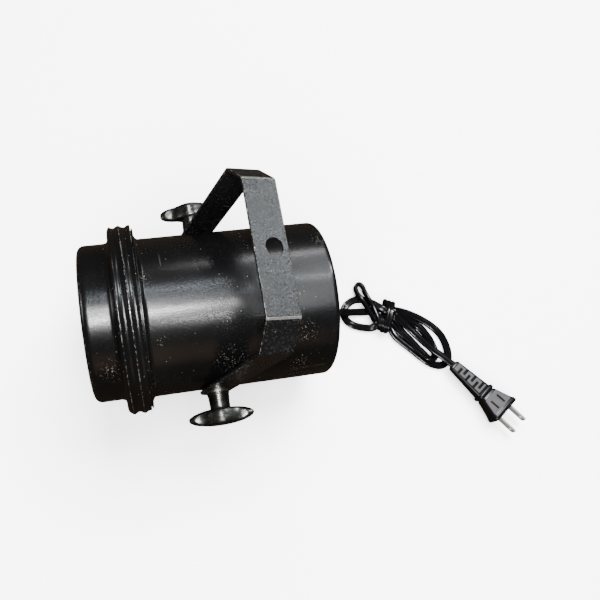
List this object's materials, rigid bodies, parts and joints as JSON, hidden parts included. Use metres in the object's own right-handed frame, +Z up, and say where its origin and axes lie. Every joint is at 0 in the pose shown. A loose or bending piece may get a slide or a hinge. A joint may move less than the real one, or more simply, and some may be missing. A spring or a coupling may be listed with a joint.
{
  "type": "par can light",
  "caption": "Small stage spotlight for a sealed-beam lamp: spun steel can, screw-on front bezel, tilting strap yoke with wing screws, flat twin lead and plug.",
  "frame": {"origin": "bottom centre of the light without its lead, on the floor it lies on", "axes": "+Z up; +X from the front bezel towards the closed rear end, along the can as it lies; +Y along the yoke's pivot axis"},
  "size_m": [0.3166, 0.1968, 0.1696],
  "materials": {
    "can_enamel": "satin to gloss black stoved enamel, dusty and lightly scuffed",
    "yoke_enamel": "satin black paint, bright steel at the worn edges",
    "zinc_steel": "zinc plated",
    "spring_steel": "oiled spring steel",
    "lens_glass": "clear pressed glass",
    "reflector_mirror": "aluminised glass",
    "brass": "bright",
    "tungsten": "coiled wire",
    "core_steel": "varnished laminations",
    "bobbin_plastic": "natural nylon",
    "copper_wire": "enamelled copper",
    "lead_insulation": "stranded wire in sleeving",
    "wire_nut_plastic": "moulded caps",
    "cord_pvc": "flat twin black flex, glossy",
    "plug_pvc": "moulded black plug",
    "blade_nickel": "nickel plated",
    "gasket_rubber": "heat-proof ring",
    "knob_metal": "cast, with a dark nickel plating polished by handling"
  },
  "bodies": {
    "can": {"rear_can": "can_enamel", "pivot_nuts": "zinc_steel", "lamp_seat_ring": "zinc_steel", "lamp_snap_ring": "spring_steel", "lamp_reflector": "reflector_mirror", "lamp_lens": "lens_glass", "lamp_terminals": "brass", "filament_supports": "zinc_steel", "filament": "tungsten", "lead_lugs": "brass", "lamp_terminal_screws": "brass", "transformer_core": "core_steel", "transformer_bobbin": "bobbin_plastic", "secondary_winding": "copper_wire", "primary_winding": "copper_wire", "transformer_bracket": "zinc_steel", "transformer_nuts": "zinc_steel", "lamp_leads": "lead_insulation", "wire_nuts": "wire_nut_plastic", "primary_leads": "lead_insulation", "cord_inner_wires": "lead_insulation", "transformer_screws": "zinc_steel", "cord_relief": "cord_pvc", "cord_lead": "cord_pvc", "cord_hank": "cord_pvc", "cord_tail": "cord_pvc", "plug_relief": "plug_pvc", "plug_body": "plug_pvc", "plug_blades": "blade_nickel"},
    "bezel_seat": {"bezel_gasket": "gasket_rubber"},
    "bezel": {"front_bezel": "can_enamel"},
    "yoke": {"yoke": "yoke_enamel"},
    "upper_washer": {"wing_washer_upper": "zinc_steel"},
    "upper_screw": {"wing_knob_upper": "knob_metal", "wing_stud_upper": "zinc_steel"},
    "lower_washer": {"wing_washer_lower": "zinc_steel"},
    "lower_screw": {"wing_knob_lower": "knob_metal", "wing_stud_lower": "zinc_steel"}
  },
  "joints": [
    {"name": "yoke_tilt", "type": "hinge", "parent": "can", "child": "yoke", "pos_m": [-0.0043, 0, 0.05998], "axis": [0, 1, 0], "range_deg": [-54, 85]},
    {"name": "bezel_travel", "type": "slide", "parent": "can", "child": "bezel_seat", "axis": [-0.9968, 0, 0.0797], "range_m": [0, 0.0141]},
    {"name": "bezel_turn", "type": "hinge", "parent": "bezel_seat", "child": "bezel", "pos_m": [-0.0043, 0, 0.05998], "axis": [-0.9968, 0, 0.0797], "range_deg": [0, 720]},
    {"name": "upper_screw_travel", "type": "slide", "parent": "can", "child": "upper_washer", "axis": [0, 1, 0], "range_m": [0, 0.002]},
    {"name": "upper_screw_turn", "type": "hinge", "parent": "upper_washer", "child": "upper_screw", "pos_m": [-0.0043, 0, 0.05998], "axis": [0, 1, 0], "range_deg": [0, 720]},
    {"name": "lower_screw_travel", "type": "slide", "parent": "can", "child": "lower_washer", "axis": [0, -1, 0], "range_m": [0, 0.002]},
    {"name": "lower_screw_turn", "type": "hinge", "parent": "lower_washer", "child": "lower_screw", "pos_m": [-0.0043, 0, 0.05998], "axis": [0, -1, 0], "range_deg": [0, 720]}
  ],
  "couplings": [
    {"joint": "bezel_travel", "follows": "bezel_turn", "m_per_rad": 0.0011141},
    {"joint": "upper_screw_turn", "follows": "upper_screw_travel", "rad_per_m": 6283.2},
    {"joint": "lower_screw_turn", "follows": "lower_screw_travel", "rad_per_m": 6283.2}
  ]
}
